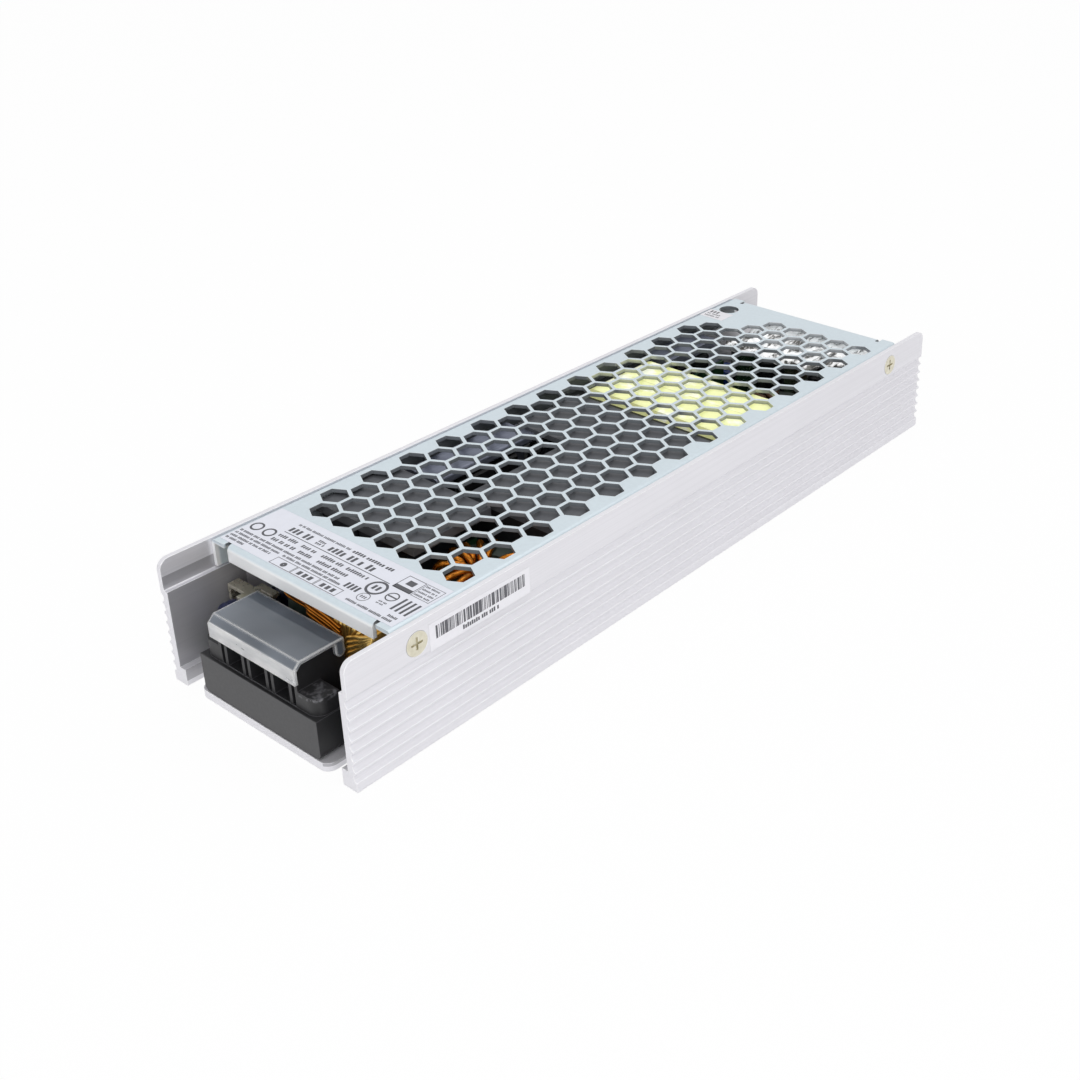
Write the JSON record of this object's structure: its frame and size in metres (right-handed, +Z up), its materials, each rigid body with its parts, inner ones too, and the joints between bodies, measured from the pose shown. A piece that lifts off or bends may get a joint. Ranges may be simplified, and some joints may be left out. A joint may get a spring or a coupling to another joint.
{
  "type": "enclosed switching power supply",
  "caption": "Slim switching power supply in a ribbed aluminium case with a honeycomb cover, screw terminals at both ends and a hinged clear lid.",
  "frame": {"origin": "centre of the underside, where the base rests on its panel", "axes": "+X along the case towards the output end, +Y across it, +Z up out of the cover"},
  "size_m": [0.22, 0.062, 0.031],
  "materials": {
    "case_aluminium": "silver anodised, matt",
    "cover_aluminium": "pale grey anodised sheet",
    "yellow_zinc": "yellow zinc plated",
    "insulating_film": "black film",
    "plated_steel": "zinc plated",
    "board_laminate": "green solder mask",
    "black_moulding": "black moulded plastic",
    "tinned_copper": "tinned",
    "clear_plastic": "clear polycarbonate",
    "dark_moulding": "dark grey moulded plastic",
    "blue_dip": "dark blue dipped coat",
    "dark_dip": "black dipped coat",
    "cream_plated": "tinned",
    "ring_core": "coated ferrite",
    "enamelled_copper": "enamelled copper wire",
    "potting": "grey potting compound",
    "plain_aluminium": "mill finish",
    "dark_sleeve": "dark heat-shrink sleeve",
    "ferrite": "dark sintered ferrite",
    "yellow_tape": "yellow polyester tape",
    "silicone_pad": "grey silicone",
    "blue_moulding": "blue moulded plastic",
    "white_moulding": "white moulded plastic",
    "green_lens": "tinted epoxy"
  },
  "bodies": {
    "case": {"case_extrusion": "case_aluminium", "top_cover": "cover_aluminium", "cover_screws": "yellow_zinc", "insulating_sheet": "insulating_film", "board_standoffs": "plated_steel", "board_screws": "plated_steel", "circuit_board": "board_laminate", "input_terminal_body": "black_moulding", "input_terminal_contacts": "tinned_copper", "input_terminal_clamps": "plated_steel", "input_terminal_screws": "plated_steel", "output_terminal_body": "black_moulding", "output_terminal_contacts": "tinned_copper", "output_terminal_clamps": "plated_steel", "output_terminal_screws": "plated_steel", "input_fuse": "dark_moulding", "varistor": "blue_dip", "inrush_thermistor": "dark_dip", "y_capacitors": "blue_dip", "earth_strap": "cream_plated", "line_choke_cores": "ring_core", "line_choke_windings": "enamelled_copper", "filter_choke_core": "ring_core", "filter_choke_winding": "enamelled_copper", "box_capacitors": "dark_moulding", "pfc_choke_case": "black_moulding", "pfc_choke": "potting", "primary_heatsink": "plain_aluminium", "bridge_rectifier": "black_moulding", "power_transistors": "black_moulding", "bulk_capacitor": "dark_sleeve", "transformer_core": "ferrite", "transformer_base": "black_moulding", "transformer_winding": "yellow_tape", "secondary_heatsink": "plain_aluminium", "output_rectifiers": "black_moulding", "control_board": "board_laminate", "output_choke_core": "ring_core", "output_choke_winding": "enamelled_copper", "output_capacitors": "dark_sleeve", "output_busbars": "tinned_copper", "output_film": "clear_plastic", "thermal_pads": "silicone_pad", "trimmer_body": "blue_moulding", "indicator_led": "green_lens", "signal_header": "white_moulding", "signal_pins": "tinned_copper"},
    "lid": {"input_terminal_lid": "clear_plastic"},
    "rotor": {"trimmer_rotor": "white_moulding"}
  },
  "joints": [
    {"name": "lid_hinge", "type": "hinge", "parent": "case", "child": "lid", "pos_m": [-0.098, 0, 0.0206], "axis": [0, 1, 0], "range_deg": [0, 70]},
    {"name": "trimmer_turn", "type": "hinge", "parent": "case", "child": "rotor", "pos_m": [0.0875, 0.0245, 0.0114], "axis": [0, 0, 1], "range_deg": [-130, 130]}
  ]
}
